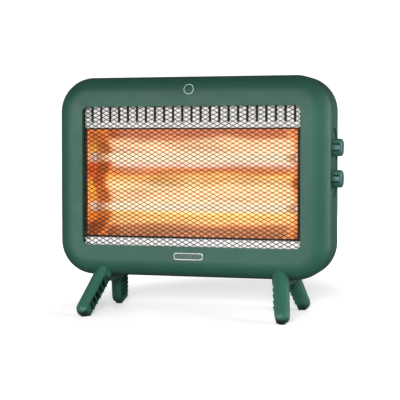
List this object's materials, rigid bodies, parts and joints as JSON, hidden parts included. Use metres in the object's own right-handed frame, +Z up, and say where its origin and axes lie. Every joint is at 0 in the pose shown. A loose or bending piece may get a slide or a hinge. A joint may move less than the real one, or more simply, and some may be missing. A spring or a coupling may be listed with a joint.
{
  "type": "radiant quartz heater",
  "caption": "Retro radiant heater: rounded casing with a guarded window, glowing quartz tubes over a reflector, side knobs and splayed legs.",
  "frame": {"origin": "on the floor, under the middle of the bounding box in plan", "axes": "+X to the side with the knobs, -Y to the front where the window is, +Z up"},
  "size_m": [0.4124, 0.1719, 0.341],
  "materials": {
    "casing": "satin dark green",
    "knobs": "satin dark green, a little lighter than the casing",
    "legs": "satin dark green",
    "guard": "semi-gloss black enamel",
    "face_panel": "aluminised sheet, satin",
    "reflector": "polished",
    "sheet_steel": "galvanised",
    "ceramic": "glazed white",
    "quartz": "milky quartz",
    "coil": "resistance wire, glowing orange in use",
    "switch_body": "black moulding",
    "moulding": "ivory heat-resistant moulding",
    "nuts": "satin",
    "screws": "zinc plated",
    "pendulum": "plain",
    "lead_red": "silicone sleeve",
    "lead_blue": "silicone sleeve",
    "grommet": "matt black",
    "feet": "matt dark",
    "badge": "brushed plain plate"
  },
  "bodies": {
    "heater": {"front_shell": "casing", "rear_shell": "casing", "left_leg_bracket": "legs", "right_leg_bracket": "legs", "guard_mesh": "guard", "guard_frame": "guard", "face_panel": "face_panel", "reflector": "reflector", "reflector_end_left": "reflector", "reflector_end_right": "reflector", "heat_shield": "sheet_steel", "tube_bracket_left": "sheet_steel", "tube_bracket_right": "sheet_steel", "control_bracket": "sheet_steel", "cap_upper_left": "ceramic", "cap_upper_right": "ceramic", "cap_lower_left": "ceramic", "cap_lower_right": "ceramic", "quartz_tube_upper": "quartz", "quartz_tube_lower": "quartz", "heating_coil_upper": "coil", "heating_coil_lower": "coil", "power_selector": "switch_body", "tip_microswitch": "switch_body", "thermal_cutout": "switch_body", "thermostat": "moulding", "tip_switch_housing": "moulding", "terminal_block": "moulding", "selector_nut": "nuts", "thermostat_nut": "nuts", "panel_screws": "screws", "control_screws": "screws", "tip_switch_screws": "screws", "terminal_screws": "screws", "leg_screws": "screws", "shell_screws": "screws", "lead_supply": "lead_red", "lead_control": "lead_red", "lead_tube_upper": "lead_blue", "lead_tube_lower": "lead_blue", "lead_return": "lead_blue", "cord_grommet": "grommet", "foot_front_left": "feet", "foot_front_right": "feet", "foot_rear_left": "feet", "foot_rear_right": "feet", "badge_plate": "badge"},
    "selector": {"knob_selector": "knobs"},
    "thermostat_knob": {"knob_thermostat": "knobs"},
    "pendulum": {"tip_pendulum": "pendulum"}
  },
  "joints": [
    {"name": "selector_turn", "type": "hinge", "parent": "heater", "child": "selector", "pos_m": [0.19175, 0.0089, 0.2397], "axis": [-1, 0, 0], "range_deg": [0, 180]},
    {"name": "thermostat_turn", "type": "hinge", "parent": "heater", "child": "thermostat_knob", "pos_m": [0.19175, 0.0089, 0.1957], "axis": [-1, 0, 0], "range_deg": [0, 270]},
    {"name": "pendulum_swing", "type": "hinge", "parent": "heater", "child": "pendulum", "pos_m": [0.06375, 0.0109, 0.092], "axis": [1, 0, 0], "range_deg": [-20, 20]}
  ]
}
